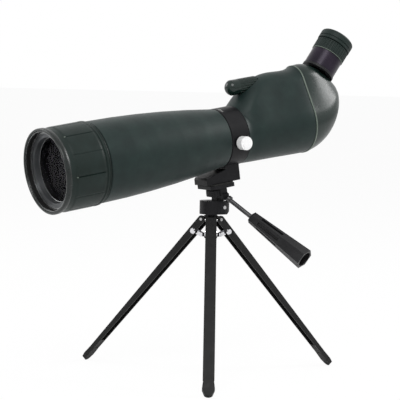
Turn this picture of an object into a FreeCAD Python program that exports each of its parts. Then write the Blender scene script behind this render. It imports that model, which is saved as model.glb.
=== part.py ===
import FreeCAD
import Part
import Sketcher
import math
import os
from types import SimpleNamespace
from FreeCAD import Placement, Rotation, Vector

# Spotting scope with an angled zoom eyepiece on a folding table tripod.
# Millimetres, +Z up, the objective looks along -Y, the origin is on the
# floor under the tripod's column. Stations of the optical tube are measured
# along its axis from the camera screw, rearwards positive.

DRIVING = {
    # optical tube
    "rimStation": -206.7, "hoodLength": 53.7, "hoodRadius": 44.0, "hoodWall": 2.3, "lipHeight": 1.0,
    "lipLength": 5.0, "cellSetback": 7.7, "tubeWall": 2.0, "armourThick": 1.6, "armourFront": 43.4,
    "armourRear": 31.9, "armourBulge": 2.8, "collarStart": 6.6, "collarWidth": 22.8,
    "spigotRadius": 28.3, "spigotDepth": 11.6, "lensRadius": 35.0, "seat": 0.15, "runFit": 0.06,
    "gap": 0.4,
    # mounting collar and its foot
    "collarRadius": 32.0, "footBottom": 47.4, "footFront": 19.2, "footRear": 24.4, "footWidth": 24.0,
    "knobDrop": 5.0, "lockKnobRadius": 7.3, "lockScrewRadius": 2.5,
    # prism housing and rear cap
    "housingEnd": 116.5, "housingWall": 2.6, "trimWidth": 1.5, "capEnd": 167.0, "eyeStation": 150.7,
    "eyeHeight": 51.0, "eyeAngle": 45.0, "focusHeight": 51.0, "focusRadius": 8.5, "focusStart": 26.5,
    "focusEnd": 65.0, "focusScrewRadius": 2.0,
    # eyepiece
    "barrelRadius": 18.2, "barrelLength": 19.0, "baseThick": 3.0, "sleeveRadius": 15.0,
    "zoomRadius": 19.0, "zoomLength": 13.5, "cupRadius": 19.5, "cupLength": 11.6,
    # head
    "pinOffset": 9.0, "pinHeight": 181.5, "headTilt": 9.11, "axisAbovePin": 74.1, "blockRadius": 12.8,
    "blockTop": 7.0, "blockBottom": 7.5, "tongueRadius": 5.2, "tongueThick": 9.8, "yokeBottom": 10.8,
    "yokeHalf": 14.2, "yokePost": 2.4, "yokeDepth": 8.0, "barThick": 2.0, "wheelThick": 6.0,
    "plateThick": 3.8, "plateSide": 31.0, "padThick": 1.4, "screwRadius": 3.1, "pinRadius": 2.0,
    # handle
    "handleSwing": 20.0, "handleDroop": 35.6, "rodRadius": 2.4, "rodLength": 38.0, "gripLength": 76.0,
    "gripStart": 6.8, "gripEnd": 11.6,
    # tripod
    "hingeHeight": 168.0, "hingeRadius": 9.0, "legReach": 224.0, "legWidth": 12.0, "legDepth": 8.4,
    "legTipDepth": 4.6, "sheetThick": 1.2, "legTurn": -33.76, "stemRadius": 4.0, "stemBottom": 136.0,
    "studRadius": 2.5, "studLength": 7.0, "neckRadius": 6.4, "linkLength": 9.6, "linkReach": 17.0,
    "linkSpread": 3.9,
    "runnerRadius": 7.0, "runnerPivot": 10.6, "footThick": 5.0,
}


class Size:
    """A size that knows its number and the sheet formula that gives it."""

    def __init__(self, number, formula):
        self.number = float(number)
        self.formula = formula

    def joined(self, sign, other, number):
        return Size(number, "(" + self.formula + " " + sign + " " + other.formula + ")")

    def __add__(self, other):
        other = sized(other)
        return self.joined("+", other, self.number + other.number)

    def __sub__(self, other):
        other = sized(other)
        return self.joined("-", other, self.number - other.number)

    def __mul__(self, other):
        other = sized(other)
        return self.joined("*", other, self.number * other.number)

    def __truediv__(self, other):
        other = sized(other)
        return self.joined("/", other, self.number / other.number)

    def __radd__(self, other):
        return sized(other) + self

    def __rsub__(self, other):
        return sized(other) - self

    def __rmul__(self, other):
        return sized(other) * self

    def __neg__(self):
        return sized(0.0) - self


def sized(value):
    """A plain number as a size, or a size as it is."""
    if isinstance(value, Size):
        return value
    return Size(value, "(" + repr(float(value)) + ")")


doc = FreeCAD.newDocument("SpottingScope")
sheet = doc.addObject("Spreadsheet::Sheet", "Sizes")
d = SimpleNamespace()
for row, (alias, number) in enumerate(DRIVING.items(), start=1):
    sheet.set("A%d" % row, alias)
    sheet.set("B%d" % row, str(number))
    sheet.setAlias("B%d" % row, alias)
    setattr(d, alias, Size(number, "Sizes." + alias))
doc.recompute()


def arc_between(start, end, radius):
    """Arc of a circle from start to end, the short way; a negative radius turns clockwise."""
    chord = end - start
    half = chord.Length / 2.0
    rise = math.sqrt(max(radius * radius - half * half, 0.0))
    left = Vector(-chord.y, chord.x, 0).normalize()
    centre = (start + end) * 0.5 + left * (rise if radius > 0 else -rise)
    first, last = (start, end) if radius > 0 else (end, start)
    angles = [math.atan2(p.y - centre.y, p.x - centre.x) for p in (first, last)]
    if angles[1] <= angles[0]:
        angles[1] += 2.0 * math.pi
    circle = Part.Circle(centre, Vector(0, 0, 1), abs(radius))
    return Part.ArcOfCircle(circle, angles[0], angles[1])


class Piece:
    """One body: sketches on its own origin planes, and the features made from them."""

    def __init__(self, label, frame):
        self.body = doc.addObject("PartDesign::Body", label)
        self.body.Label = label
        if hasattr(self.body, "AllowCompound"):
            self.body.AllowCompound = True
        self.body.Placement = frame
        pieces.append(self.body)

    def origin(self, role):
        return [f for f in self.body.Origin.OriginFeatures if f.Role == role][0]

    def sketch(self, plane, lift):
        """An empty sketch on an origin plane, moved along the plane's normal by lift."""
        sketch = self.body.newObject("Sketcher::SketchObject", self.body.Label + "_sketch")
        sketch.AttachmentSupport = [(self.origin(plane), "")]
        sketch.MapMode = "FlatFace"
        if lift is not None:
            lift = sized(lift)
            sketch.AttachmentOffset = Placement(Vector(0, 0, lift.number), Rotation())
            sketch.setExpression("AttachmentOffset.Base.z", lift.formula)
        return sketch

    def held(self, sketch, kind, places, size):
        """A dimension of the sketch that follows its formula."""
        size = sized(size)
        index = sketch.addConstraint(Sketcher.Constraint(kind, *places, size.number))
        sketch.setExpression("Constraints[%d]" % index, size.formula)

    def outline(self, sketch, corners):
        """Closed outline through corners (x, y) or (x, y, radius of the arc that follows)."""
        corners = [[sized(value) for value in corner] for corner in corners]
        points = [Vector(c[0].number, c[1].number, 0) for c in corners]
        base = sketch.GeometryCount
        ends = []
        for k, corner in enumerate(corners):
            start, end = points[k], points[(k + 1) % len(points)]
            if len(corner) == 3:
                sketch.addGeometry(arc_between(start, end, corner[2].number))
                ends.append((1, 2) if corner[2].number > 0 else (2, 1))
            else:
                sketch.addGeometry(Part.LineSegment(start, end))
                ends.append((1, 2))
        for k, corner in enumerate(corners):
            last = (k - 1) % len(corners)
            joint = (base + last, ends[last][1], base + k, ends[k][0])
            sketch.addConstraint(Sketcher.Constraint("Coincident", *joint))
            self.held(sketch, "DistanceX", (-1, 1, base + k, ends[k][0]), corner[0])
            self.held(sketch, "DistanceY", (-1, 1, base + k, ends[k][0]), corner[1])
            if len(corner) == 3:
                radius = corner[2] if corner[2].number > 0 else -corner[2]
                self.held(sketch, "Radius", (base + k,), radius)
        return sketch

    def profile(self, plane, corners, lift=None):
        return self.outline(self.sketch(plane, lift), corners)

    def circles(self, plane, rings, lift=None):
        """Sketch of whole circles, each (x, y, radius)."""
        sketch = self.sketch(plane, lift)
        for ring in rings:
            x, y, radius = [sized(value) for value in ring]
            circle = Part.Circle(Vector(x.number, y.number, 0), Vector(0, 0, 1), radius.number)
            index = sketch.addGeometry(circle)
            self.held(sketch, "DistanceX", (-1, 1, index, 3), x)
            self.held(sketch, "DistanceY", (-1, 1, index, 3), y)
            self.held(sketch, "Radius", (index,), radius)
        return sketch

    def feature(self, kind, sketch):
        feature = self.body.newObject("PartDesign::" + kind, self.body.Label + "_" + kind)
        feature.Profile = sketch
        sketch.Visibility = False
        return feature

    def extrude(self, kind, sketch, length, both, back):
        feature = self.feature(kind, sketch)
        if length is None:
            feature.Type = "ThroughAll"
        else:
            length = sized(length)
            feature.Length = length.number
            feature.setExpression("Length", length.formula)
        if both and hasattr(feature, "SideType"):
            feature.SideType = "Symmetric"
        elif both:
            feature.Midplane = True
        feature.Reversed = back
        return feature

    def pad(self, sketch, length, both=False, back=False):
        return self.extrude("Pad", sketch, length, both, back)

    def pocket(self, sketch, length=None, both=False, back=False):
        return self.extrude("Pocket", sketch, length, both, back)

    def turned(self, kind, sketch, axis):
        feature = self.feature(kind, sketch)
        feature.ReferenceAxis = (sketch, [axis])
        feature.Angle = 360.0
        return feature

    def revolve(self, corners, plane="YZ_Plane", axis="H_Axis"):
        return self.turned("Revolution", self.profile(plane, corners), axis)

    def around(self, feature, axis, count):
        """The feature repeated evenly in a full turn about an origin axis."""
        doc.recompute()
        pattern = self.body.newObject("PartDesign::PolarPattern", self.body.Label + "_pattern")
        pattern.Originals = [feature]
        pattern.Axis = (self.origin(axis), [""])
        pattern.Angle = 360.0
        pattern.Occurrences = count
        self.body.Tip = pattern
        return pattern

    def loft(self, kind, sections):
        feature = self.feature(kind, sections[0])
        feature.Sections = sections[1:]
        return feature

    def egg(self, station, section, inset=0.0):
        """Egg-shaped section square to the tube's axis: a wide low arc and a narrow high one."""
        wide, low, narrow, high = [sized(value) for value in section]
        sketch = self.sketch("XZ_Plane", -sized(station))
        self.egg_outline(sketch, (wide - inset, low, narrow - inset, high))
        return sketch

    def egg_outline(self, sketch, section):
        wide, low, narrow, high = section
        lean = math.asin((wide.number - narrow.number) / (high.number - low.number))
        up = Vector(0, 0, 1)
        base = sketch.GeometryCount
        bottom = Part.Circle(Vector(0, low.number, 0), up, wide.number)
        top = Part.Circle(Vector(0, high.number, 0), up, narrow.number)
        lower = Part.ArcOfCircle(bottom, math.pi - lean, 2.0 * math.pi + lean)
        upper = Part.ArcOfCircle(top, lean, math.pi - lean)
        right = Part.LineSegment(lower.EndPoint, upper.StartPoint)
        left = Part.LineSegment(upper.EndPoint, lower.StartPoint)
        for curve in (lower, right, upper, left):
            sketch.addGeometry(curve)
        for k in range(4):
            places = (base + k, 2, base + (k + 1) % 4, 1)
            sketch.addConstraint(Sketcher.Constraint("Tangent", *places))
        for arc, height, radius in ((base, low, wide), (base + 2, high, narrow)):
            self.held(sketch, "DistanceX", (-1, 1, arc, 3), 0.0)
            self.held(sketch, "DistanceY", (-1, 1, arc, 3), height)
            self.held(sketch, "Radius", (arc,), radius)


pieces = []

# Frames of the assembly
GROUND = Placement()
HEAD = Placement(Vector(0, d.pinOffset.number, d.pinHeight.number),
                 Rotation(Vector(1, 0, 0), d.headTilt.number))
TUBE = HEAD * Placement(Vector(0, 0, d.axisAbovePin.number), Rotation())
EYE = TUBE * Placement(Vector(0, d.eyeStation.number, d.eyeHeight.number),
                       Rotation(Vector(1, 0, 0), d.eyeAngle.number - 90.0))
FOCUS = TUBE * Placement(Vector(0, 0, d.focusHeight.number), Rotation())

# Stations shared by the pieces of the tube
rim = d.rimStation
hood_rear = d.rimStation + d.hoodLength
tube_front = d.rimStation + d.cellSetback
collar_end = d.collarStart + d.collarWidth
armour_end = d.collarStart - d.gap
housing_start = collar_end + d.gap
spigot_end = collar_end + d.spigotDepth
hood_bore = d.hoodRadius - d.hoodWall
tube_radius = hood_bore - 0.3
cell_radius = tube_radius - d.tubeWall - d.seat
cap_start = d.housingEnd + d.trimWidth + 0.1
yoke_top = d.axisAbovePin - d.footBottom - d.padThick - d.plateThick


def armour_line(inset):
    """Points along the swelling taper of the front body, front to rear, inset under its skin."""
    start = hood_rear + 1.8
    length = armour_end - 0.8 - start
    points = []
    for step in range(6):
        share = step / 5.0
        fall = (d.armourRear - d.armourFront) * share
        swell = d.armourBulge * (4.0 * share * (1.0 - share))
        points.append((start + length * share, d.armourFront + fall + swell - inset))
    return points


def sun_hood():
    piece = Piece("sun_hood", TUBE)
    lip = d.hoodRadius + d.lipHeight
    piece.revolve([
        (rim, hood_bore + 1.2), (rim, lip - 1.2, -1.2), (rim + 1.2, lip), (rim + d.lipLength, lip),
        (rim + d.lipLength + 1.0, d.hoodRadius), (hood_rear - 1.0, d.hoodRadius),
        (hood_rear, d.hoodRadius - 1.0), (hood_rear, hood_bore), (rim + 1.2, hood_bore)])
    rib = piece.profile("YZ_Plane", [
        (rim + 19.0, d.hoodRadius - 0.6), (rim + 47.0, d.hoodRadius - 0.6),
        (rim + 46.2, d.hoodRadius + 0.7), (rim + 19.8, d.hoodRadius + 0.7)])
    piece.around(piece.pad(rib, 3.2, both=True), "Y_Axis", 24)


def hood_ring():
    """Bright liner ring seen just inside the hood's rim, on the tube's front end."""
    piece = Piece("hood_ring", TUBE)
    piece.revolve([
        (tube_front - 1.6, cell_radius - 0.4), (tube_front - 1.6, tube_radius - 0.5),
        (tube_front - 0.1, tube_radius - 0.5), (tube_front - 0.1, cell_radius - 0.4)])


def main_tube():
    piece = Piece("main_tube", TUBE)
    shoulder = hood_rear + 0.6
    wall = d.tubeWall
    under = d.armourThick + d.seat
    taper = armour_line(under)
    inner = armour_line(under + wall)
    neck = armour_end - 2.0
    piece.revolve([
        (tube_front, tube_radius), (shoulder, tube_radius), *taper[:-1], (neck, taper[-1][1] + 0.1),
        (neck, d.spigotRadius), (spigot_end, d.spigotRadius), (spigot_end, d.spigotRadius - wall),
        (neck - 2.0, d.spigotRadius - wall), *inner[-2:0:-1], (shoulder - 4.0, tube_radius - wall),
        (tube_front, tube_radius - wall)])
    stop_end, stop_radius = inner[3]
    stop = piece.profile("YZ_Plane", [
        (stop_end - 2.0, 26.0), (stop_end, 26.0), (stop_end, stop_radius + 1.0),
        (stop_end - 2.0, stop_radius + 1.0)])
    piece.turned("Revolution", stop, "H_Axis")


def front_armour():
    piece = Piece("front_armour", TUBE)
    start = hood_rear + 1.0
    inside = armour_line(d.armourThick)
    piece.revolve([
        (start, d.armourFront - 0.8), *armour_line(0.0), (armour_end, d.armourRear - 0.8),
        (armour_end, d.spigotRadius + 0.7), (armour_end - 1.6, d.spigotRadius + 0.7),
        (armour_end - 1.6, inside[-1][1] + 0.1), *inside[-2:0:-1],
        (start, inside[0][1])])


def objective():
    cell_front = tube_front + 2.0
    cell = Piece("lens_cell", TUBE)
    cell.revolve([
        (cell_front, d.lensRadius + 0.2), (cell_front, cell_radius), (cell_front + 20.0, cell_radius),
        (cell_front + 20.0, d.lensRadius - 2.0), (cell_front + 18.0, d.lensRadius - 2.0),
        (cell_front + 18.0, d.lensRadius + 0.2)])
    ring = Piece("retaining_ring", TUBE)
    ring.revolve([
        (tube_front + 0.2, d.lensRadius - 0.5), (tube_front + 0.2, cell_radius),
        (cell_front - 0.1, cell_radius), (cell_front - 0.1, d.lensRadius),
        (cell_front + 4.2, d.lensRadius), (cell_front + 4.2, d.lensRadius - 1.6)])
    crown = Piece("crown_lens", TUBE)
    crown.revolve([
        (cell_front + 2.0, 0.0), (cell_front + 12.6, 0.0), (cell_front + 12.6, 1.0, 260.0),
        (cell_front + 10.2, d.lensRadius), (cell_front + 4.8, d.lensRadius, 220.0),
        (cell_front + 2.0, 1.0)])
    flint = Piece("flint_lens", TUBE)
    flint.revolve([
        (cell_front + 12.9, 0.0), (cell_front + 17.8, 0.0), (cell_front + 17.8, d.lensRadius),
        (cell_front + 10.5, d.lensRadius, -260.0)])


def mount_collar():
    piece = Piece("mount_collar", TUBE)
    body_top = -d.collarRadius + 3.0
    side = piece.profile("YZ_Plane", [
        (-d.footFront, -d.footBottom), (d.footRear, -d.footBottom), (d.footRear, body_top),
        (d.collarStart, body_top), (d.collarStart, -d.armourRear - 1.4), (3.0, -d.armourRear - 2.6),
        (-d.footFront + 1.5, -d.footBottom + 7.9), (-d.footFront, -d.footBottom + 6.0)])
    piece.pad(side, d.footWidth, both=True)
    piece.revolve([
        (d.collarStart, d.spigotRadius - 2.0), (d.collarStart, d.collarRadius - 0.6),
        (d.collarStart + 0.6, d.collarRadius), (collar_end - 0.6, d.collarRadius),
        (collar_end, d.collarRadius - 0.6), (collar_end, d.spigotRadius - 2.0)])
    middle = d.collarStart + d.collarWidth / 2.0 - 1.5
    boss = piece.circles("YZ_Plane", [(middle, -d.knobDrop, 6.0)], lift=d.spigotRadius + 1.0)
    piece.pad(boss, 5.2)
    bore = piece.circles("XZ_Plane", [(0.0, 0.0, d.spigotRadius + d.runFit)], lift=-d.collarStart + 1.0)
    piece.pocket(bore, d.collarWidth + 2.0, back=False)
    hole = piece.circles("YZ_Plane", [(middle, -d.knobDrop, d.lockScrewRadius + d.runFit)], lift=60.0)
    piece.pocket(hole, 40.0)
    seat = piece.circles("XY_Plane", [(0.0, 0.0, 5.0 + d.seat)], lift=-d.footBottom)
    piece.pocket(seat, 9.0, back=True)

    insert = Piece("foot_insert", TUBE)
    brass = insert.circles("XY_Plane", [(0, 0, 5.0), (0, 0, d.screwRadius + d.runFit)],
                           lift=-d.footBottom + 0.2)
    insert.pad(brass, 8.0)

    knob = Piece("lock_knob", TUBE)
    face = d.collarRadius + 2.6
    disc = knob.circles("YZ_Plane", [(middle, -d.knobDrop, d.lockKnobRadius)], lift=face)
    knob.pad(disc, 8.5)
    neck = knob.circles("YZ_Plane", [(middle, -d.knobDrop, 5.0)], lift=face + 8.0)
    knob.pad(neck, 1.3)
    screw = Piece("lock_screw", TUBE)
    shaft = screw.circles("YZ_Plane", [(middle, -d.knobDrop, d.lockScrewRadius)],
                          lift=d.spigotRadius + 0.3)
    screw.pad(shaft, face - d.spigotRadius - 0.4)


# Egg sections of the housing: wide radius, its height, narrow radius, its height
SECTIONS = {
    "front": (31.6, 0.0, 31.0, 0.7), "slope": (32.3, 0.0, 24.0, 22.5), "crest": (33.2, 0.6, 19.0, 38.3),
    "back": (34.6, 1.4, 19.0, 41.5), "seam": (35.5, 1.7, 20.0, 43.0), "tail": (31.5, 5.5, 19.5, 40.5),
    "round": (24.5, 13.0, 16.0, 32.5), "end": (14.0, 21.0, 12.0, 25.0),
}


def prism_housing():
    piece = Piece("prism_housing", TUBE)
    outer = [
        piece.egg(housing_start, SECTIONS["front"]), piece.egg(46.5, SECTIONS["slope"]),
        piece.egg(64.0, SECTIONS["crest"]), piece.egg(88.0, SECTIONS["back"]),
        piece.egg(d.housingEnd, SECTIONS["seam"])]
    piece.loft("AdditiveLoft", outer)
    cavity_start = d.focusEnd + 2.2
    spigot = piece.circles("XZ_Plane", [(0, 0, d.spigotRadius + d.seat)], lift=-housing_start)
    piece.pocket(spigot, spigot_end + 0.2 - housing_start, back=False)
    bore = piece.circles("XZ_Plane", [(0, 0, 25.0)], lift=-spigot_end)
    piece.pocket(bore, cavity_start - spigot_end + 0.5, back=False)
    inner = [
        piece.egg(cavity_start, SECTIONS["crest"], d.housingWall),
        piece.egg(88.0, SECTIONS["back"], d.housingWall),
        piece.egg(d.housingEnd + 0.01, SECTIONS["seam"], d.housingWall)]
    piece.loft("SubtractiveLoft", inner)
    channel = piece.circles("XZ_Plane", [(0, d.focusHeight, d.focusRadius + 0.5)],
                            lift=-(housing_start - 2.0))
    piece.pocket(channel, d.focusEnd + 0.4 - housing_start + 2.0, back=False)
    pivot = piece.circles("XZ_Plane", [(0, d.focusHeight, d.focusScrewRadius + d.runFit)],
                          lift=-(d.focusEnd - 1.0))
    piece.pocket(pivot, 5.0, back=False)


def seam_trim():
    piece = Piece("seam_trim", TUBE)
    sketch = piece.egg(d.housingEnd + 0.05, SECTIONS["seam"], -0.5)
    piece.egg_outline(sketch, [sized(v) for v in (
        sized(SECTIONS["seam"][0]) - d.housingWall, SECTIONS["seam"][1],
        sized(SECTIONS["seam"][2]) - d.housingWall, SECTIONS["seam"][3])])
    piece.pad(sketch, d.trimWidth, back=True)


def rear_cap():
    piece = Piece("rear_cap", TUBE)
    outer = [
        piece.egg(cap_start, SECTIONS["seam"]), piece.egg(140.0, SECTIONS["tail"]),
        piece.egg(156.0, SECTIONS["round"]), piece.egg(d.capEnd, SECTIONS["end"])]
    piece.loft("AdditiveLoft", outer)
    inner = [
        piece.egg(cap_start - 0.01, SECTIONS["seam"], d.housingWall),
        piece.egg(136.0, SECTIONS["tail"], d.housingWall + 1.5)]
    piece.loft("SubtractiveLoft", inner)
    seat_sum = d.eyeStation + d.eyeHeight
    above = piece.profile("YZ_Plane", [
        (seat_sum - 80.0, 80.0), (seat_sum - 25.0, 25.0), (seat_sum - 25.0, 90.0), (seat_sum - 80.0, 90.0)])
    piece.pocket(above, 90.0, both=True)
    doc.recompute()
    hole = piece.profile("YZ_Plane", [
        (d.eyeStation - 9.0 - 16.0, d.eyeHeight + 9.0 - 16.0),
        (d.eyeStation + 9.0 - 16.0, d.eyeHeight - 9.0 - 16.0),
        (d.eyeStation + 9.0 + 4.0, d.eyeHeight - 9.0 + 4.0),
        (d.eyeStation - 9.0 + 4.0, d.eyeHeight + 9.0 + 4.0)])
    piece.pocket(hole, 18.0, both=True)


def inner_optics():
    shelf = Piece("prism_shelf", TUBE)
    plate = shelf.profile("YZ_Plane", [(92.0, -18.0), (115.0, -18.0), (115.0, -16.2), (92.0, -16.2)])
    shelf.pad(plate, 49.0, both=True)
    prism = Piece("erecting_prism", TUBE)
    side = prism.profile("YZ_Plane", [
        (94.0, -16.0), (114.0, -16.0), (128.0, 14.0), (112.0, 32.0), (94.0, 17.0)])
    prism.pad(side, 30.0, both=True)
    carriage = Piece("focus_carriage", TUBE)
    carriage.revolve([(50.0, 18.2), (50.0, 24.9), (58.0, 24.9), (58.0, 18.2)])
    arm = carriage.profile("YZ_Plane", [
        (57.0, 20.0), (78.0, 20.0), (78.0, 54.0), (74.0, 54.0), (74.0, 23.5), (57.0, 23.5)])
    carriage.pad(arm, 8.0, both=True)
    nut = carriage.circles("XZ_Plane", [(0, d.focusHeight, d.focusScrewRadius + d.runFit)], lift=-73.0)
    carriage.pocket(nut, 6.0, back=False)
    lens = Piece("focus_lens", TUBE)
    lens.revolve([(52.0, 0.0), (56.0, 0.0), (57.5, 18.1), (50.5, 18.1)])


def focus_control():
    knob = Piece("focus_knob", FOCUS)
    nose = 6.0
    knob.revolve([
        (d.focusStart, 0.0), (d.focusEnd, 0.0), (d.focusEnd, d.focusRadius - 0.8),
        (d.focusEnd - 0.8, d.focusRadius), (d.focusStart + nose, d.focusRadius, 8.9),
        (d.focusStart, 1.5)])
    rib = knob.circles("XZ_Plane", [(0.0, d.focusRadius + 0.35, 0.9)], lift=-d.focusEnd)
    knob.around(knob.pocket(rib, 24.0, back=True), "Y_Axis", 20)
    screw = Piece("focus_screw", FOCUS)
    shaft = screw.circles("XZ_Plane", [(0, 0, d.focusScrewRadius)], lift=-(d.focusEnd + 0.02))
    screw.pad(shaft, 22.0, back=True)


def eyepiece():
    top = d.baseThick + d.barrelLength
    ring_start = top + 0.3
    ring_end = ring_start + d.zoomLength
    cup_start = ring_end + 0.5
    bore = d.sleeveRadius - 2.0
    base = Piece("eyepiece_base", EYE)
    base.revolve([
        (bore, 0.05), (d.barrelRadius + 0.6, 0.05), (d.barrelRadius + 0.6, d.baseThick - 0.6),
        (d.barrelRadius, d.baseThick - 0.1), (bore, d.baseThick - 0.1)], "YZ_Plane", "V_Axis")
    barrel = Piece("eyepiece_barrel", EYE)
    barrel.revolve([
        (bore, d.baseThick), (d.barrelRadius, d.baseThick), (d.barrelRadius, top),
        (d.sleeveRadius, top), (d.sleeveRadius, ring_end + 9.0), (bore, ring_end + 9.0)],
        "YZ_Plane", "V_Axis")
    ring = Piece("zoom_ring", EYE)
    inside = d.sleeveRadius + d.runFit
    ring.revolve([
        (inside, ring_start), (d.zoomRadius - 0.8, ring_start), (d.zoomRadius, ring_start + 0.8),
        (d.zoomRadius, ring_end - 0.8), (d.zoomRadius - 0.8, ring_end), (inside, ring_end)],
        "YZ_Plane", "V_Axis")
    rib = ring.circles("XY_Plane", [(d.zoomRadius + 0.5, 0.0, 1.1)], lift=ring_start + 1.6)
    ring.around(ring.pocket(rib, d.zoomLength - 3.2, back=True), "Z_Axis", 36)
    cup = Piece("eyecup", EYE)
    cup_end = cup_start + d.cupLength
    cup.revolve([
        (inside, cup_start), (d.cupRadius - 0.5, cup_start), (d.cupRadius, cup_start + 0.5),
        (d.cupRadius, cup_start + 2.6), (d.cupRadius - 0.8, cup_start + 3.1),
        (d.cupRadius - 0.8, cup_start + 3.7), (d.cupRadius, cup_start + 4.2),
        (d.cupRadius, cup_end - 3.0, 3.0), (d.cupRadius - 3.0, cup_end),
        (d.cupRadius - 6.0, cup_end), (11.5, cup_end - 2.2), (11.5, cup_end - 2.6),
        (inside, cup_end - 2.6)], "YZ_Plane", "V_Axis")
    eye = Piece("eye_lens", EYE)
    eye.revolve([
        (0.0, ring_end + 2.0), (bore - 0.1, ring_end + 2.0), (bore - 0.1, ring_end + 5.0, 32.0),
        (1.0, ring_end + 7.7), (0.0, ring_end + 7.7)], "YZ_Plane", "V_Axis")
    slider = Piece("zoom_carriage", EYE)
    slider.revolve([(9.0, 8.0), (bore - 0.1, 8.0), (bore - 0.1, 16.0), (9.0, 16.0)], "YZ_Plane", "V_Axis")
    field = Piece("zoom_lens", EYE)
    field.revolve([(0.0, 9.5), (8.9, 9.5), (8.9, 14.5), (0.0, 14.5)], "YZ_Plane", "V_Axis")


def pan_and_tilt():
    block = Piece("pan_block", GROUND)
    radius = d.blockRadius
    back = d.pinOffset - 1.2
    low = d.pinHeight - d.blockBottom
    high = d.pinHeight + d.blockTop
    plan = block.profile("XY_Plane", [
        (radius, 0.0), (radius, back, radius), (0.0, back + radius, radius), (-radius, back),
        (-radius, 0.0, radius), (0.0, -radius, radius)], lift=low)
    block.pad(plan, high - low)
    slope = block.profile("YZ_Plane", [
        (back + 3.0, low - 1.0), (back + radius + 1.0, low - 1.0), (back + radius + 1.0, low + 6.0)])
    block.pocket(slope, 60.0, both=True)
    half = d.tongueThick / 2.0 + 0.3
    front = d.pinOffset - d.tongueRadius - 0.4
    slot = block.profile("XY_Plane", [
        (-half, front), (half, front), (half, back + radius + 2.0), (-half, back + radius + 2.0)],
        lift=high + 1.0)
    block.pocket(slot, d.blockTop + d.tongueRadius + 1.4)
    wedge = block.profile("YZ_Plane", [
        (front, d.pinHeight), (front + 1.0, d.pinHeight), (front + 1.0, high + 1.0),
        (front - 2.6, high + 1.0)])
    block.pocket(wedge, 2.0 * half, both=True)
    pivot = block.circles("XY_Plane", [(0, 0, d.studRadius + d.runFit)], lift=low - 1.0)
    block.pocket(pivot, d.studLength + 1.4, back=True)
    across = block.circles("YZ_Plane", [(d.pinOffset, d.pinHeight, d.pinRadius + 0.02)])
    block.pocket(across, 60.0, both=True)

    pin = Piece("tilt_pin", GROUND)
    shaft = pin.circles("YZ_Plane", [(d.pinOffset, d.pinHeight, d.pinRadius)])
    pin.pad(shaft, 2.0 * radius - 0.6, both=True)

    yoke = Piece("tilt_yoke", HEAD)
    window_low = d.yokeBottom + d.barThick
    window_high = window_low + d.wheelThick + 0.4
    inner = d.yokeHalf - d.yokePost
    side = yoke.profile("XZ_Plane", [
        (-d.yokeHalf, d.yokeBottom), (d.yokeHalf, d.yokeBottom), (d.yokeHalf, yoke_top),
        (-d.yokeHalf, yoke_top)])
    yoke.outline(side, [
        (-inner, window_low), (inner, window_low), (inner, window_high), (-inner, window_high)])
    yoke.pad(side, d.yokeDepth, both=True)
    tongue = yoke.profile("YZ_Plane", [
        (-d.tongueRadius, 0.0, d.tongueRadius), (0.0, -d.tongueRadius, d.tongueRadius),
        (d.tongueRadius, 0.0), (4.0, d.yokeBottom + 0.5), (-4.0, d.yokeBottom + 0.5)])
    yoke.pad(tongue, d.tongueThick, both=True)
    ear = yoke.profile("XZ_Plane", [
        (d.yokeHalf - 0.5, d.yokeBottom - 1.2), (d.yokeHalf + 3.2, d.yokeBottom - 2.0),
        (d.yokeHalf + 3.2, d.yokeBottom + 4.4), (d.yokeHalf - 0.5, d.yokeBottom + 6.0)])
    yoke.pad(ear, d.yokeDepth, both=True)
    bore = yoke.circles("YZ_Plane", [(0, 0, d.pinRadius + d.runFit)])
    yoke.pocket(bore, 40.0, both=True)
    up = yoke.circles("XY_Plane", [(0, 0, d.screwRadius + d.runFit)], lift=yoke_top + 1.0)
    yoke.pocket(up, yoke_top + 1.0 - window_high + 0.5)

    plate = Piece("platform_plate", HEAD)
    corner = 4.0
    half = d.plateSide / 2.0

    def rounded(piece, reach, lift):
        return piece.profile("XY_Plane", [
            (reach - corner, -reach, corner), (reach, -reach + corner), (reach, reach - corner, corner),
            (reach - corner, reach), (-reach + corner, reach, corner), (-reach, reach - corner),
            (-reach, -reach + corner, corner), (-reach + corner, -reach)], lift=lift)
    hole = [(0, 0, d.screwRadius + 0.2)]
    plate.pad(rounded(plate, half, yoke_top), d.plateThick)
    plate.pocket(plate.circles("XY_Plane", hole, lift=yoke_top - 1.0), d.plateThick + 2.0, back=True)
    pad = Piece("platform_pad", HEAD)
    top = yoke_top + d.plateThick
    pad.pad(rounded(pad, half - 0.8, top), d.padThick)
    pad.pocket(pad.circles("XY_Plane", hole, lift=top - 1.0), d.padThick + 2.0, back=True)

    wheel = Piece("thumb_wheel", HEAD)
    bottom = window_low + 0.2
    disc = wheel.circles("XY_Plane", [(0, 0, inner - 0.3)], lift=bottom)
    wheel.pad(disc, d.wheelThick)
    notch = wheel.circles("XY_Plane", [(inner + 0.1, 0.0, 0.95)], lift=bottom - 1.0)
    wheel.around(wheel.pocket(notch, d.wheelThick + 2.0, back=True), "Z_Axis", 24)
    screw = Piece("camera_screw", HEAD)
    stud = screw.circles("XY_Plane", [(0, 0, d.screwRadius)], lift=bottom + d.wheelThick)
    screw.pad(stud, yoke_top + d.plateThick + d.padThick + 7.6 - bottom - d.wheelThick)


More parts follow.
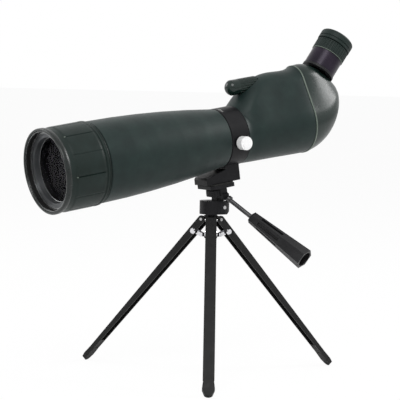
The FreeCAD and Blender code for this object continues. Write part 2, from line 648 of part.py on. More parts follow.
def handle():
    swing = math.radians(d.handleSwing.number)
    droop = math.radians(d.handleDroop.number)
    along = Vector(math.cos(droop) * math.cos(swing), math.cos(droop) * math.sin(swing), -math.sin(droop))
    root = Vector(d.yokeHalf.number + 3.2, 0.0, d.yokeBottom.number + 1.2)
    frame = HEAD * Placement(root, Rotation(Vector(0, 0, 1), along))
    start = 3.5
    rod = Piece("handle_rod", frame)
    rod.revolve([
        (0.0, start - 0.4), (d.rodRadius + 1.6, start - 0.4), (d.rodRadius + 1.6, start + 2.6),
        (d.rodRadius, start + 3.4), (d.rodRadius, d.rodLength + 14.0), (0.0, d.rodLength + 14.0)],
        "XZ_Plane", "V_Axis")
    grip = Piece("handle_grip", frame)

    def hexagon(reach, lift):
        flat = reach * 0.5
        side = reach * math.sqrt(0.75)
        return grip.profile("XY_Plane", [
            (reach, 0.0), (flat, side), (-flat, side), (-reach, 0.0), (-flat, -side), (flat, -side)],
            lift=lift)
    grip.loft("AdditiveLoft", [hexagon(d.gripStart, d.rodLength),
                               hexagon(d.gripEnd, d.rodLength + d.gripLength)])
    mouth = grip.circles("XY_Plane", [(0, 0, d.gripEnd - 3.2)], lift=d.rodLength + d.gripLength)
    floor = grip.circles("XY_Plane", [(0, 0, d.gripEnd - 4.8)], lift=d.rodLength + d.gripLength - 30.0)
    grip.loft("SubtractiveLoft", [mouth, floor])
    socket = grip.circles("XY_Plane", [(0, 0, d.rodRadius + d.seat)], lift=d.rodLength - 1.0)
    grip.pocket(socket, 15.3, back=True)
    recess = grip.profile("XZ_Plane", [
        (-1.6, d.rodLength + 12.0), (1.6, d.rodLength + 12.0), (1.6, d.rodLength + 42.0),
        (-1.6, d.rodLength + 42.0)], lift=4.9)
    grip.around(grip.pocket(recess, 8.0, back=True), "Z_Axis", 6)


def tripod():
    column = Piece("column", GROUND)
    block_low = d.pinHeight - d.blockBottom
    shoulder = d.hingeHeight + 4.2
    column.revolve([
        (0.0, d.stemBottom), (d.stemRadius, d.stemBottom), (d.stemRadius, shoulder),
        (d.neckRadius, shoulder), (d.neckRadius, block_low - 0.3), (d.studRadius, block_low - 0.3),
        (d.studRadius, block_low + d.studLength), (0.0, block_low + d.studLength)], "XZ_Plane", "V_Axis")
    end = Piece("column_cap", GROUND)
    end.revolve([
        (0.0, d.stemBottom - 1.6), (d.stemRadius + 0.8, d.stemBottom - 1.6),
        (d.stemRadius + 0.8, d.stemBottom - 0.02), (0.0, d.stemBottom - 0.02)], "XZ_Plane", "V_Axis")

    turn = Rotation(Vector(0, 0, 1), d.legTurn.number)
    hub_frame = Placement(Vector(0, 0, d.hingeHeight.number), turn)
    hub = Piece("leg_hub", hub_frame)
    lug_half = d.legDepth / 2.0 - d.sheetThick - 0.4
    core = hub.circles("XY_Plane", [(0, 0, 6.0)], lift=-5.5)
    hub.pad(core, 9.5)
    lug = hub.profile("XZ_Plane", [
        (3.0, -lug_half), (d.hingeRadius, -lug_half, lug_half), (d.hingeRadius + lug_half, 0.0, lug_half),
        (d.hingeRadius, lug_half), (3.0, lug_half)])
    hub.around(hub.pad(lug, d.legWidth - 2.0 * d.sheetThick - 0.8, both=True), "Z_Axis", 3)
    eye = hub.circles("XZ_Plane", [(d.hingeRadius, 0.0, 1.62)])
    hub.around(hub.pocket(eye, 20.0, both=True), "Z_Axis", 3)
    bore = hub.circles("XY_Plane", [(0, 0, d.stemRadius + 0.05)], lift=-10.0)
    hub.pocket(bore, 20.0, back=True)

    pins = Piece("leg_pins", hub_frame)
    shaft = pins.circles("XZ_Plane", [(d.hingeRadius, 0.0, 1.6)])
    pins.around(pins.pad(shaft, d.legWidth + 1.6, both=True), "Z_Axis", 3)

    thick = d.footThick.number / 2.0
    reach = math.hypot(d.legReach.number, thick)
    spread = math.acos(d.hingeHeight.number / reach) + math.atan2(thick, d.legReach.number)
    rest = math.degrees(spread)
    print("leg angle at rest", round(rest, 3))

    link_angle = math.radians(rest - d.linkSpread.number)
    pivot_x = d.hingeRadius.number + d.linkReach.number * math.sin(link_angle)
    pivot_z = d.hingeHeight.number - d.linkReach.number * math.cos(link_angle)
    inward = pivot_x - d.runnerPivot.number
    drop = math.sqrt(d.linkLength.number ** 2 - inward ** 2)
    runner_z = pivot_z - drop
    print("link pivot", round(pivot_x, 3), round(pivot_z, 3), "runner", round(runner_z, 3))

    runner = Piece("runner", Placement(Vector(0, 0, runner_z), turn))
    sleeve = runner.circles("XY_Plane", [(0, 0, d.runnerRadius)], lift=-3.2)
    runner.pad(sleeve, 6.4)
    ear = runner.profile("XZ_Plane", [
        (5.0, -2.0), (d.runnerPivot, -2.0, 2.0), (d.runnerPivot + 2.0, 0.0, 2.0),
        (d.runnerPivot, 2.0), (5.0, 2.0)])
    runner.around(runner.pad(ear, 3.2, both=True), "Z_Axis", 3)
    hole = runner.circles("XZ_Plane", [(d.runnerPivot, 0.0, 1.0)])
    runner.around(runner.pocket(hole, 20.0, both=True), "Z_Axis", 3)
    slide = runner.circles("XY_Plane", [(0, 0, d.stemRadius + d.runFit)], lift=-10.0)
    runner.pocket(slide, 20.0, back=True)

    for index in range(3):
        azimuth = d.legTurn.number + 120.0 * index
        radial = Placement(Vector(), Rotation(Vector(0, 0, 1), azimuth))
        hinge = Vector(d.hingeRadius.number, 0, d.hingeHeight.number)
        leg_frame = radial * Placement(hinge, Rotation(Vector(0, 1, 0), -rest))
        leg(index + 1, leg_frame)
        tip = math.degrees(math.atan2(drop, inward))
        link_frame = radial * Placement(Vector(pivot_x, 0, pivot_z), Rotation(Vector(0, 1, 0), -tip))
        link(index + 1, link_frame)


def leg(number, frame):
    """Folded sheet channel with its open side under it, its foot and the link's rivet."""
    piece = Piece("leg_%d" % number, frame)
    depth = d.legDepth / 2.0
    tip_depth = d.legTipDepth / 2.0
    end = -(d.legReach - 20.0)
    side = piece.profile("XZ_Plane", [
        (depth, 0.0, depth), (0.0, depth, depth), (-depth, 0.0), (-tip_depth, end), (tip_depth, end)])
    piece.pad(side, d.legWidth, both=True)
    inside = piece.profile("XZ_Plane", [
        (-depth - 3.0, depth + 2.0), (-depth - 3.0, end - 1.0), (tip_depth - d.sheetThick, end - 1.0),
        (depth - d.sheetThick, 0.4), (depth + 2.0, 0.4), (depth + 2.0, depth + 2.0)])
    piece.pocket(inside, d.legWidth - 2.0 * d.sheetThick, both=True)
    lean = math.radians(d.linkSpread.number)
    rivet_x = -d.linkReach.number * math.sin(lean)
    rivet_z = -d.linkReach.number * math.cos(lean)
    holes = piece.circles("XZ_Plane", [(0.0, 0.0, 1.6 + d.runFit), (rivet_x, rivet_z, 1.52)])
    piece.pocket(holes, 20.0, both=True)

    rivet = Piece("rivet_%d" % number, frame * Placement(Vector(rivet_x, 0, rivet_z), Rotation()))
    half = d.legWidth / 2.0
    rivet.revolve([
        (-half - 0.9, 0.0), (half + 0.9, 0.0), (half + 0.9, 2.6), (half + 0.05, 3.3), (half + 0.05, 1.5),
        (-half - 0.05, 1.5), (-half - 0.05, 3.3), (-half - 0.9, 2.6)])

    foot = Piece("foot_%d" % number, frame)
    low = -d.legReach
    tip_half = 4.2
    tip_round = 6.0
    sag = tip_round - math.sqrt(tip_round ** 2 - tip_half ** 2)
    shoe = foot.profile("YZ_Plane", [
        (-5.4, end - 0.2), (-6.6, low + 8.0), (-tip_half, low + sag, tip_round), (tip_half, low + sag),
        (6.6, low + 8.0), (5.4, end - 0.2)], lift=-d.footThick / 2.0)
    foot.pad(shoe, d.footThick)
    tongue = foot.profile("YZ_Plane", [
        (-4.5, end - 1.0), (4.5, end - 1.0), (4.5, end + 12.0), (-4.5, end + 12.0)],
        lift=-d.legTipDepth / 2.0 + 0.2)
    foot.pad(tongue, d.legTipDepth - d.sheetThick - 0.5)


def link(number, frame):
    """Pair of flat bars between a leg and the runner; local -X points along them."""
    piece = Piece("link_%d" % number, frame)
    for side in (-1, 1):
        lift = 2.0 if side > 0 else -3.2
        bar = piece.profile("XZ_Plane", [
            (0.0, -2.0, 2.0), (2.0, 0.0, 2.0), (0.0, 2.0), (-d.linkLength, 2.0, 2.0),
            (-d.linkLength - 2.0, 0.0, 2.0), (-d.linkLength, -2.0)], lift=lift)
        piece.pad(bar, 1.2)
        head = piece.circles("XZ_Plane", [(-d.linkLength, 0.0, 1.5)], lift=3.1 if side > 0 else -3.8)
        piece.pad(head, 0.7)
    eye = piece.circles("XZ_Plane", [(0.0, 0.0, 1.5 + d.runFit)])
    piece.pocket(eye, 20.0, both=True)


sun_hood()
hood_ring()
main_tube()
front_armour()
objective()
mount_collar()
prism_housing()
seam_trim()
rear_cap()
inner_optics()
focus_control()
eyepiece()
pan_and_tilt()
handle()
tripod()
doc.recompute()

faults = [o.Name for o in doc.Objects if "Invalid" in o.State or "Error" in o.State]
for body in pieces:
    shape = body.Shape
    if shape.isNull() or not shape.isValid() or not shape.Solids:
        faults.append(body.Label)
if faults:
    raise RuntimeError("failed: " + ", ".join(faults))

os.makedirs("parts", exist_ok=True)
for body in pieces:
    body.Shape.exportStep("parts/%s.step" % body.Label)
    print(body.Label, len(body.Shape.Solids), round(body.Shape.Volume, 1))
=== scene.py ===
import math
import bmesh
import bpy
from mathutils import Matrix, Vector


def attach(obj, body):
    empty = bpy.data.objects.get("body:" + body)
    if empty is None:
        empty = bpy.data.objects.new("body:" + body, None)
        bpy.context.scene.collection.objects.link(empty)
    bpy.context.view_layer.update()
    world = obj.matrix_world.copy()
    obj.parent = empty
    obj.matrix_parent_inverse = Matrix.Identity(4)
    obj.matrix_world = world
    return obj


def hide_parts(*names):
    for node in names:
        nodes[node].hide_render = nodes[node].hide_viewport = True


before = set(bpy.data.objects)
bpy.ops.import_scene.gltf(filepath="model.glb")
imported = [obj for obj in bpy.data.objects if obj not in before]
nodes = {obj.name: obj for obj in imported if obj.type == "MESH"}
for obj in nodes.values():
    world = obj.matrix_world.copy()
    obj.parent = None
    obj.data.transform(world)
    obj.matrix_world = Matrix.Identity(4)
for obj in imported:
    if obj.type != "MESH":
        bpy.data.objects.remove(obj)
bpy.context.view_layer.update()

# Photograph's view: places in metres, the lens and its sensor in millimetres
AZIMUTH = math.radians(56.07)
ELEVATION = math.radians(4.06)
ROLL = math.radians(1.34)
DISTANCE = 2.158
SIDE_SHIFT = -0.01921
HEIGHT_SHIFT = -0.18913
COLUMN_BACK = 0.03289
FOCAL = 180.14
SENSOR = 36.0
VIEW_END = 20.0

# Stage: how far the floor reaches in metres, its white, and the world's fill light
FLOOR_REACH = 40.0
FLOOR_WHITE = 0.93
WORLD_FILL = 0.5
WHITE = (1.0, 1.0, 1.0, 1.0)

# Frames of the object, as its pieces are built
HEAD_TILT = math.radians(9.11)
PIN = Vector((0.0, 0.009, 0.1815))
AXIS_ABOVE_PIN = 0.0741
EYE_STATION = 0.1507
EYE_HEIGHT = 0.051
HEAD = Matrix.Translation(PIN) @ Matrix.Rotation(HEAD_TILT, 4, "X")
TUBE = HEAD @ Matrix.Translation((0.0, 0.0, AXIS_ABOVE_PIN))
TUBE_INVERSE = TUBE.inverted()
EYE = (TUBE @ Matrix.Translation((0.0, EYE_STATION, EYE_HEIGHT))
       @ Matrix.Rotation(math.radians(-45.0), 4, "X"))


# Camera, light and stage

def make_camera():
    back = Vector((math.sin(AZIMUTH) * math.cos(ELEVATION),
                   -math.cos(AZIMUTH) * math.cos(ELEVATION), math.sin(ELEVATION)))
    right = Vector((math.cos(AZIMUTH), math.sin(AZIMUTH), 0.0))
    up = back.cross(right)
    rolled_right = right * math.cos(ROLL) + up * math.sin(ROLL)
    rolled_up = up * math.cos(ROLL) - right * math.sin(ROLL)
    place = back * DISTANCE - rolled_right * SIDE_SHIFT - rolled_up * HEIGHT_SHIFT
    place -= Vector((0.0, COLUMN_BACK, 0.0))
    data = bpy.data.cameras.new("camera")
    data.lens = FOCAL
    data.sensor_width = SENSOR
    data.clip_end = VIEW_END
    camera = bpy.data.objects.new("camera", data)
    turn = Matrix((rolled_right, rolled_up, back)).transposed().to_4x4()
    camera.matrix_world = Matrix.Translation(place) @ turn
    bpy.context.scene.collection.objects.link(camera)
    bpy.context.scene.camera = camera


def area_light(name, place, target, width, height, power):
    data = bpy.data.lights.new(name, "AREA")
    data.shape = "RECTANGLE"
    data.size = width
    data.size_y = height
    data.energy = power
    lamp = bpy.data.objects.new(name, data)
    lamp.location = place
    aim = Vector(target) - Vector(place)
    lamp.rotation_euler = aim.to_track_quat("-Z", "Y").to_euler()
    bpy.context.scene.collection.objects.link(lamp)


def white_to_camera(tree, shader):
    """Pure white where the camera, a reflection or a refraction sees it; the shader elsewhere."""
    path = tree.nodes.new("ShaderNodeLightPath")
    either = tree.nodes.new("ShaderNodeMath")
    either.operation = "MAXIMUM"
    tree.links.new(path.outputs["Is Glossy Ray"], either.inputs[0])
    tree.links.new(path.outputs["Is Transmission Ray"], either.inputs[1])
    every = tree.nodes.new("ShaderNodeMath")
    every.operation = "MAXIMUM"
    tree.links.new(path.outputs["Is Camera Ray"], every.inputs[0])
    tree.links.new(either.outputs[0], every.inputs[1])
    white = tree.nodes.new("ShaderNodeBackground")
    white.inputs["Strength"].default_value = 1.0
    white.inputs["Color"].default_value = WHITE
    mix = tree.nodes.new("ShaderNodeMixShader")
    tree.links.new(every.outputs[0], mix.inputs[0])
    tree.links.new(shader.outputs[0], mix.inputs[1])
    tree.links.new(white.outputs[0], mix.inputs[2])
    return mix


def make_world():
    world = bpy.data.worlds.new("studio")
    world.use_nodes = True
    tree = world.node_tree
    fill = tree.nodes["Background"]
    fill.inputs["Color"].default_value = WHITE
    fill.inputs["Strength"].default_value = WORLD_FILL
    mix = white_to_camera(tree, fill)
    tree.links.new(mix.outputs[0], tree.nodes["World Output"].inputs["Surface"])
    bpy.context.scene.world = world


def make_floor():
    """White floor that also glows for the camera, so that it fades into the world."""
    mesh = bpy.data.meshes.new("floor")
    corners = [(x * FLOOR_REACH, y * FLOOR_REACH, 0) for x, y in ((-1, -1), (1, -1), (1, 1), (-1, 1))]
    mesh.from_pydata(corners, [], [(0, 1, 2, 3)])
    floor = bpy.data.objects.new("floor", mesh)
    bpy.context.scene.collection.objects.link(floor)
    material = bpy.data.materials.new("floor_white")
    material.use_nodes = True
    tree = material.node_tree
    shader = tree.nodes["Principled BSDF"]
    shader.inputs["Base Color"].default_value = (FLOOR_WHITE, FLOOR_WHITE, FLOOR_WHITE, 1.0)
    shader.inputs["Roughness"].default_value = 0.7
    shader.inputs["Specular IOR Level"].default_value = 0.1
    path = tree.nodes.new("ShaderNodeLightPath")
    share = tree.nodes.new("ShaderNodeMath")
    share.operation = "MULTIPLY"
    share.inputs[1].default_value = FLOOR_WHITE
    tree.links.new(path.outputs["Is Camera Ray"], share.inputs[0])
    white = tree.nodes.new("ShaderNodeEmission")
    mix = tree.nodes.new("ShaderNodeMixShader")
    tree.links.new(share.outputs[0], mix.inputs[0])
    tree.links.new(shader.outputs[0], mix.inputs[1])
    tree.links.new(white.outputs[0], mix.inputs[2])
    tree.links.new(mix.outputs[0], tree.nodes["Material Output"].inputs["Surface"])
    mesh.materials.append(material)


# Materials

class Shade:
    """A procedural material built from object coordinates."""

    def __init__(self, name):
        self.material = bpy.data.materials.new(name)
        self.material.use_nodes = True
        self.tree = self.material.node_tree
        self.shader = self.tree.nodes["Principled BSDF"]
        self.place = self.tree.nodes.new("ShaderNodeTexCoord").outputs["Object"]

    def noise(self, scale, detail=3.0, stretch=None):
        node = self.tree.nodes.new("ShaderNodeTexNoise")
        node.inputs["Scale"].default_value = scale
        node.inputs["Detail"].default_value = detail
        source = self.place
        if stretch:
            mapping = self.tree.nodes.new("ShaderNodeMapping")
            mapping.inputs["Scale"].default_value = stretch
            self.tree.links.new(self.place, mapping.inputs["Vector"])
            source = mapping.outputs["Vector"]
        self.tree.links.new(source, node.inputs["Vector"])
        return node.outputs["Fac"]

    def cells(self, scale):
        node = self.tree.nodes.new("ShaderNodeTexVoronoi")
        node.inputs["Scale"].default_value = scale
        self.tree.links.new(self.place, node.inputs["Vector"])
        return node.outputs["Distance"]

    def ramp(self, source, stops):
        node = self.tree.nodes.new("ShaderNodeValToRGB")
        ramp = node.color_ramp
        for index, (place, colour) in enumerate(stops):
            stop = ramp.elements[index] if index < 2 else ramp.elements.new(place)
            stop.position = place
            stop.color = (*colour, 1.0)
        self.tree.links.new(source, node.inputs["Fac"])
        return node.outputs["Color"]

    def spread(self, source, low, high):
        node = self.tree.nodes.new("ShaderNodeMapRange")
        node.inputs["To Min"].default_value = low
        node.inputs["To Max"].default_value = high
        self.tree.links.new(source, node.inputs["Value"])
        return node.outputs["Result"]

    def colour(self, stops, scale=60.0):
        self.tree.links.new(self.ramp(self.noise(scale), stops), self.shader.inputs["Base Color"])

    def rough(self, low, high, scale=180.0, stretch=None):
        value = self.spread(self.noise(scale, 4.0, stretch), low, high)
        self.tree.links.new(value, self.shader.inputs["Roughness"])

    def bump(self, source, depth, strength=1.0, under=None):
        node = self.tree.nodes.new("ShaderNodeBump")
        node.inputs["Distance"].default_value = depth
        node.inputs["Strength"].default_value = strength
        self.tree.links.new(source, node.inputs["Height"])
        if under:
            self.tree.links.new(under, node.inputs["Normal"])
        self.tree.links.new(node.outputs["Normal"], self.shader.inputs["Normal"])
        return node.outputs["Normal"]

    def fixed(self, **values):
        for name, value in values.items():
            self.shader.inputs[name.replace("_", " ")].default_value = value


def spots(name, dark, light, worn, grain, depth, rough, shine=0.2, **fixed):
    """Moulded or painted surface: mottled colour with a few worn spots, grain and uneven gloss."""
    shade = Shade(name)
    shade.colour([(0.3, dark), (0.62, light), (0.78, worn)])
    shade.rough(rough[0], rough[1])
    coarse = shade.bump(shade.noise(grain / 9.0, 2.0), depth * 1.5, 0.3)
    shade.bump(shade.noise(grain, 5.0), depth, 0.6, coarse)
    shade.fixed(Specular_IOR_Level=shine, **fixed)
    return shade.material


def brushed(name, dark, light, rough, metallic, stretch):
    """Turned or drawn metal with fine lines along the stretch direction."""
    shade = Shade(name)
    lines = shade.noise(900.0, 6.0, stretch)
    shade.tree.links.new(shade.ramp(lines, [(0.35, dark), (0.7, light)]), shade.shader.inputs["Base Color"])
    shade.rough(rough[0], rough[1], 300.0, stretch)
    shade.bump(lines, 0.00004, 0.5)
    shade.fixed(Metallic=metallic)
    return shade.material


def coated_glass(name, tint, coat, alpha):
    shade = Shade(name)
    shade.colour([(0.2, tint), (0.8, coat)], 8.0)
    shade.fixed(Roughness=0.03, IOR=1.5, Specular_IOR_Level=0.35, Alpha=alpha)
    return shade.material


def leather_grain(name, dark, light, worn, pebble, depth, rough):
    """Wrinkled powder coat: small raised pebbles."""
    shade = Shade(name)
    shade.colour([(0.3, dark), (0.62, light), (0.8, worn)], 90.0)
    shade.rough(rough[0], rough[1])
    under = shade.bump(shade.cells(pebble), depth, 0.8)
    shade.bump(shade.noise(pebble * 1.7, 3.0), depth * 0.6, 0.6, under)
    shade.fixed(Specular_IOR_Level=0.22)
    return shade.material


MATERIALS = {
    "green_rubber": spots("green_rubber", (0.006, 0.014, 0.013), (0.009, 0.020, 0.018),
                          (0.013, 0.026, 0.023), 2600.0, 0.00006, (0.40, 0.52), Sheen_Weight=0.08,
                          Sheen_Roughness=0.4),
    "hood_rubber": spots("hood_rubber", (0.005, 0.011, 0.009), (0.008, 0.016, 0.014),
                         (0.012, 0.022, 0.019), 2600.0, 0.00006, (0.34, 0.48)),
    "cap_rubber": spots("cap_rubber", (0.005, 0.012, 0.010), (0.008, 0.017, 0.014),
                        (0.012, 0.022, 0.019), 2600.0, 0.00005, (0.24, 0.34), 0.35),
    "grip_rubber": spots("grip_rubber", (0.006, 0.012, 0.010), (0.009, 0.017, 0.015),
                         (0.015, 0.025, 0.022), 3000.0, 0.00005, (0.42, 0.6)),
    "knob_gloss": spots("knob_gloss", (0.004, 0.011, 0.009), (0.006, 0.015, 0.012),
                        (0.010, 0.020, 0.017), 1500.0, 0.00003, (0.14, 0.24), 0.35),
    "black_metal": spots("black_metal", (0.004, 0.004, 0.005), (0.007, 0.007, 0.008),
                         (0.015, 0.015, 0.016), 3200.0, 0.00004, (0.34, 0.5), 0.16),
    "inner_black": spots("inner_black", (0.004, 0.004, 0.004), (0.008, 0.008, 0.008),
                         (0.012, 0.012, 0.012), 2000.0, 0.00004, (0.5, 0.7)),
    "ring_black": spots("ring_black", (0.06, 0.064, 0.068), (0.09, 0.095, 0.10),
                        (0.12, 0.125, 0.13), 2600.0, 0.00001, (0.26, 0.34), 0.4, Metallic=0.5),
    "rim_black": spots("rim_black", (0.004, 0.007, 0.006), (0.006, 0.010, 0.009),
                       (0.012, 0.018, 0.016), 2600.0, 0.00003, (0.22, 0.34), 0.35),
    "black_plastic": spots("black_plastic", (0.009, 0.009, 0.010), (0.014, 0.014, 0.015),
                           (0.024, 0.024, 0.025), 2200.0, 0.00007, (0.38, 0.52)),
    "grip_plastic": spots("grip_plastic", (0.009, 0.009, 0.010), (0.014, 0.014, 0.015),
                          (0.024, 0.024, 0.025), 1500.0, 0.00009, (0.3, 0.42)),
    "foot_rubber": spots("foot_rubber", (0.008, 0.008, 0.008), (0.014, 0.014, 0.014),
                         (0.03, 0.03, 0.029), 1800.0, 0.00008, (0.5, 0.7)),
    "cork_rubber": spots("cork_rubber", (0.010, 0.010, 0.010), (0.018, 0.018, 0.017),
                         (0.035, 0.034, 0.032), 1200.0, 0.00012, (0.65, 0.8)),
    "barrel_coat": spots("barrel_coat", (0.012, 0.009, 0.016), (0.018, 0.013, 0.023),
                         (0.028, 0.021, 0.034), 2800.0, 0.00003, (0.24, 0.34), Metallic=0.3),
    "trim": spots("trim", (0.10, 0.125, 0.105), (0.14, 0.165, 0.14), (0.2, 0.22, 0.19), 2600.0,
                  0.00003, (0.3, 0.42)),
    "mark_white": spots("mark_white", (0.55, 0.55, 0.53), (0.68, 0.68, 0.66), (0.76, 0.76, 0.74),
                        2600.0, 0.00002, (0.4, 0.5)),
    "leg_paint": leather_grain("leg_paint", (0.004, 0.004, 0.004), (0.008, 0.008, 0.008),
                               (0.020, 0.020, 0.020), 1300.0, 0.00016, (0.36, 0.52)),
    "silver": brushed("silver", (0.8, 0.8, 0.8), (0.92, 0.92, 0.92), (0.35, 0.5), 0.2, (0.15, 1, 1)),
    "liner": brushed("liner", (0.16, 0.165, 0.165), (0.28, 0.285, 0.285), (0.2, 0.3), 0.9, (1, 0.15, 1)),
    "steel": brushed("steel", (0.42, 0.42, 0.42), (0.62, 0.62, 0.62), (0.25, 0.38), 1.0, (1, 1, 0.15)),
    "chrome": brushed("chrome", (0.68, 0.68, 0.7), (0.82, 0.82, 0.84), (0.08, 0.16), 1.0, (1, 1, 0.3)),
    "rod_steel": brushed("rod_steel", (0.05, 0.05, 0.052), (0.09, 0.09, 0.092), (0.22, 0.32), 0.9,
                         (1, 1, 0.2)),
    "brass": brushed("brass", (0.5, 0.36, 0.14), (0.7, 0.52, 0.24), (0.25, 0.38), 1.0, (1, 1, 0.2)),
    "front_glass": coated_glass("front_glass", (0.004, 0.006, 0.008), (0.012, 0.010, 0.016), 0.12),
    "clear_glass": coated_glass("clear_glass", (0.02, 0.03, 0.035), (0.05, 0.05, 0.06), 0.45),
}

FINISHES = {
    "green_rubber": ["front_armour", "prism_housing"],
    "cap_rubber": ["rear_cap"],
    "grip_rubber": ["zoom_ring", "eyecup"],
    "knob_gloss": ["focus_knob"],
    "black_metal": ["mount_collar", "tilt_yoke", "pan_block", "platform_plate", "column", "leg_hub",
                    "runner"],
    "inner_black": ["main_tube", "lens_cell", "prism_shelf", "focus_carriage", "zoom_carriage"],
    "ring_black": ["retaining_ring"],
    "black_plastic": ["thumb_wheel", "eyepiece_base", "column_cap"],
    "grip_plastic": ["handle_grip"],
    "foot_rubber": ["foot_1", "foot_2", "foot_3"],
    "cork_rubber": ["platform_pad"],
    "barrel_coat": ["eyepiece_barrel"],
    "trim": ["seam_trim"],
    "leg_paint": ["leg_1", "leg_2", "leg_3"],
    "silver": ["lock_knob"],
    "liner": ["hood_ring"],
    "steel": ["lock_screw", "camera_screw", "tilt_pin", "focus_screw", "leg_pins"],
    "chrome": ["rivet_1", "rivet_2", "rivet_3", "link_1", "link_2", "link_3"],
    "rod_steel": ["handle_rod"],
    "brass": ["foot_insert"],
    "front_glass": ["crown_lens", "flint_lens"],
    "clear_glass": ["focus_lens", "zoom_lens", "eye_lens", "erecting_prism"],
}


def dress_nodes():
    for finish, names in FINISHES.items():
        for name in names:
            target = nodes[name].data
            for index in range(max(len(target.materials), 1)):
                if index < len(target.materials):
                    target.materials[index] = MATERIALS[finish]
                else:
                    target.materials.append(MATERIALS[finish])


# Pieces in mesh code

SHARP_ANGLE = math.radians(35.0)

def turned_piece(name, frame_matrix, profile, body, finish, segments=192, relief=None):
    """Closed ring turned about the frame's Y axis. profile holds (station, radius) corners in metres;
    relief gives the skin's extra height at a station and an angle."""
    bm = bmesh.new()
    rows = []
    for station, radius in profile:
        row = []
        for step in range(segments):
            angle = math.tau * step / segments
            lift = relief(station, radius, angle) if relief else 0.0
            reach = radius + lift
            row.append(bm.verts.new((reach * math.sin(angle), station, reach * math.cos(angle))))
        rows.append(row)
    for index in range(len(rows)):
        row, following = rows[index], rows[(index + 1) % len(rows)]
        for step in range(segments):
            beside = (step + 1) % segments
            bm.faces.new((row[step], row[beside], following[beside], following[step]))
    bmesh.ops.recalc_face_normals(bm, faces=bm.faces)
    return finished(name, bm, frame_matrix, body, finish)


def finished(name, bm, matrix, body, finish):
    """The bmesh as an object that rides on a body and a material."""
    bm.transform(matrix)
    mesh = bpy.data.meshes.new(name)
    bm.to_mesh(mesh)
    bm.free()
    mesh.materials.append(MATERIALS[finish])
    for face in mesh.polygons:
        face.use_smooth = True
    mesh.set_sharp_from_angle(angle=SHARP_ANGLE)
    piece = bpy.data.objects.new(name, mesh)
    bpy.context.scene.collection.objects.link(piece)
    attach(piece, body)
    return piece


def eased(value, low, high):
    """0 below low, 1 above high and a smooth rise between."""
    share = min(max((value - low) / (high - low), 0.0), 1.0)
    return share * share * (3.0 - 2.0 * share)


HOOD_FRONT = -0.2067
HOOD_LENGTH = 0.0537
HOOD_RADIUS = 0.044
HOOD_BORE = 0.0417
LIP_RADIUS = 0.045
GROOVES = 12
FIRST_GROOVE = math.radians(37.0)
GROOVE_START = 0.0140
GROOVE_END = 0.0450
GROOVE_HALF = 0.00045
PANEL_RISE = 0.0006
PANEL_FADE = 0.003
GROOVE_DEPTH = 0.0004
LIP_END = 0.0058


def hood_relief(station, radius, angle):
    """Raised panels parted by thin grooves, which start at a small nub."""
    if radius < HOOD_RADIUS - 0.0004:
        return 0.0
    along = station - HOOD_FRONT
    band = (eased(along, GROOVE_START - PANEL_FADE, GROOVE_START)
            * (1.0 - eased(along, GROOVE_END, GROOVE_END + PANEL_FADE)))
    pitch = math.tau / GROOVES
    turns = (angle - FIRST_GROOVE) / pitch
    off = abs(turns - round(turns)) * pitch * HOOD_RADIUS
    deep = 1.0 if round(turns) % 2 == 0 else 0.45
    cut = 1.0 - eased(off, GROOVE_HALF * 0.5, GROOVE_HALF * 1.6)
    return band * (PANEL_RISE - cut * deep * (PANEL_RISE + GROOVE_DEPTH))


def sun_hood():
    """The hood's skin with a darker lip, in place of the CAD hood, and the nubs on its grooves."""
    rear = HOOD_FRONT + HOOD_LENGTH
    profile = [(HOOD_FRONT + 0.0012, HOOD_BORE), (HOOD_FRONT + 0.0002, HOOD_BORE + 0.0006),
               (HOOD_FRONT, HOOD_BORE + 0.0012), (HOOD_FRONT, LIP_RADIUS - 0.0012),
               (HOOD_FRONT + 0.0004, LIP_RADIUS - 0.0004), (HOOD_FRONT + 0.0012, LIP_RADIUS),
               (HOOD_FRONT + 0.0046, LIP_RADIUS), (HOOD_FRONT + 0.0052, LIP_RADIUS - 0.0003),
               (HOOD_FRONT + 0.0062, HOOD_RADIUS)]
    station = HOOD_FRONT + 0.0075
    while station < rear - 0.0052:
        profile.append((station, HOOD_RADIUS))
        station += 0.0008
    profile += [(rear - 0.0050, HOOD_RADIUS), (rear - 0.0046, HOOD_RADIUS + 0.0007),
                (rear - 0.0026, HOOD_RADIUS + 0.0007), (rear - 0.0022, HOOD_RADIUS - 0.0004),
                (rear - 0.0014, HOOD_RADIUS - 0.0006), (rear - 0.0010, HOOD_RADIUS - 0.0002),
                (rear - 0.0004, HOOD_RADIUS - 0.0004), (rear, HOOD_RADIUS - 0.0012), (rear, HOOD_BORE)]
    hood = turned_piece("hood_shell", TUBE, profile, "hood", "hood_rubber", 360,
                        hood_relief)
    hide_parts("sun_hood")
    hood.data.materials.append(MATERIALS["rim_black"])
    points = [TUBE_INVERSE @ vertex.co for vertex in hood.data.vertices]
    for face in hood.data.polygons:
        station = sum(points[index].y for index in face.vertices) / len(face.vertices)
        if station < HOOD_FRONT + LIP_END:
            face.material_index = 1
    bm = bmesh.new()
    for index in range(0, GROOVES, 2):
        angle = FIRST_GROOVE + index * math.tau / GROOVES
        place = Matrix.Rotation(angle, 4, "Y") @ Matrix.Translation(
            (0.0, HOOD_FRONT + GROOVE_START - 0.0012, HOOD_RADIUS + 0.0002))
        bmesh.ops.create_uvsphere(bm, u_segments=16, v_segments=8, radius=0.0009,
                                  matrix=place @ Matrix.Diagonal((0.8, 1.3, 0.5, 1.0)))
    finished("hood_nubs", bm, TUBE, "hood", "trim")


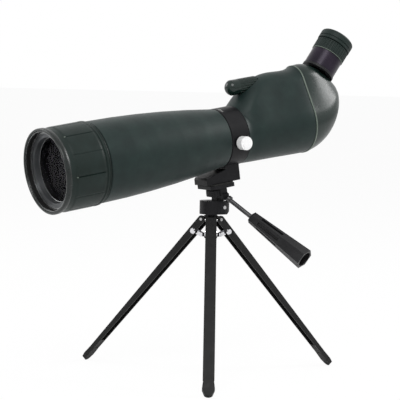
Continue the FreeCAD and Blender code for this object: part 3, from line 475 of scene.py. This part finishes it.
def mouth_rings():
    """Bright edges and dark lining in the hood's mouth, and ring edges behind the objective."""
    front = HOOD_FRONT + 0.0010
    turned_piece("mouth_edge", TUBE, [(front, 0.04155), (front, 0.04105), (front + 0.0010, 0.04095),
                                      (front + 0.0016, 0.04155)], "hood", "liner")
    turned_piece("hood_lining", TUBE, [
        (HOOD_FRONT + 0.0028, 0.04168), (HOOD_FRONT + 0.0028, 0.04160),
        (HOOD_FRONT + HOOD_LENGTH - 0.0003, 0.04160), (HOOD_FRONT + HOOD_LENGTH - 0.0003, 0.04168)],
        "hood", "inner_black")
    edges = [(0.0132, 0.0333), (0.0302, 0.0328), (0.0324, 0.0324), (0.0350, 0.0320), (0.0382, 0.0314)]
    for index, (depth, inner) in enumerate(edges):
        start = HOOD_FRONT + depth
        turned_piece("ring_edge_%d" % (index + 1), TUBE, [
            (start, inner + 0.0008), (start, inner + 0.0003), (start + 0.0002, inner),
            (start + 0.0004, inner), (start + 0.0006, inner + 0.0003), (start + 0.0006, inner + 0.0008)],
            "scope", "liner")


def index_marks():
    """Short generic index lines on the collar and one on the eyepiece."""
    bm = bmesh.new()
    for degrees in (8.0, 12.0, 16.0, 20.0, 24.0):
        length = 0.0032 if degrees == 16.0 else 0.0020
        place = Matrix.Rotation(math.radians(degrees), 4, "Y") @ Matrix.Translation((0.0, 0.0098, 0.03202))
        bmesh.ops.create_cube(bm, size=1.0, matrix=place @ Matrix.Diagonal((0.0005, length, 0.00012, 1.0)))
    bmesh.ops.bevel(bm, geom=bm.edges[:], offset=0.00004, segments=2, affect="EDGES")
    finished("collar_marks", bm, TUBE, "tilt", "mark_white")
    bm = bmesh.new()
    place = Matrix.Rotation(math.radians(62.0), 4, "Z") @ Matrix.Translation((0.01822, 0.0, 0.0075))
    bmesh.ops.create_cube(bm, size=1.0, matrix=place @ Matrix.Diagonal((0.00012, 0.0006, 0.0034, 1.0)))
    bmesh.ops.bevel(bm, geom=bm.edges[:], offset=0.00004, segments=2, affect="EDGES")
    finished("zoom_mark", bm, EYE, "scope", "mark_white")


def zoom_edge():
    """Thin light line at the foot of the ribbed ring."""
    bm = bmesh.new()
    sides = 96
    angles = [math.tau * k / sides for k in range(sides)]
    rows = []
    for height, radius in ((0.02245, 0.01825), (0.02245, 0.01862), (0.02290, 0.01896),
                           (0.02310, 0.01890), (0.02300, 0.01825)):
        rows.append([bm.verts.new((radius * math.cos(a), radius * math.sin(a), height)) for a in angles])
    for index in range(len(rows)):
        row, following = rows[index], rows[(index + 1) % len(rows)]
        for k in range(sides):
            beside = (k + 1) % sides
            bm.faces.new((row[k], row[beside], following[beside], following[k]))
    bmesh.ops.recalc_face_normals(bm, faces=bm.faces)
    finished("zoom_edge", bm, EYE, "zoom", "trim")


make_camera()
make_world()
make_floor()
area_light("key", (1.6, -1.2, 1.9), (0, 0, 0.2), 1.4, 1.4, 36.0)
area_light("side", (-1.8, -1.4, 1.2), (0, 0, 0.2), 1.2, 1.2, 20.0)
area_light("rim", (0.6, 2.0, 1.5), (0, 0, 0.25), 1.2, 0.8, 26.0)
dress_nodes()
sun_hood()
mouth_rings()
index_marks()
zoom_edge()
bpy.context.scene.view_settings.view_transform = "Standard"
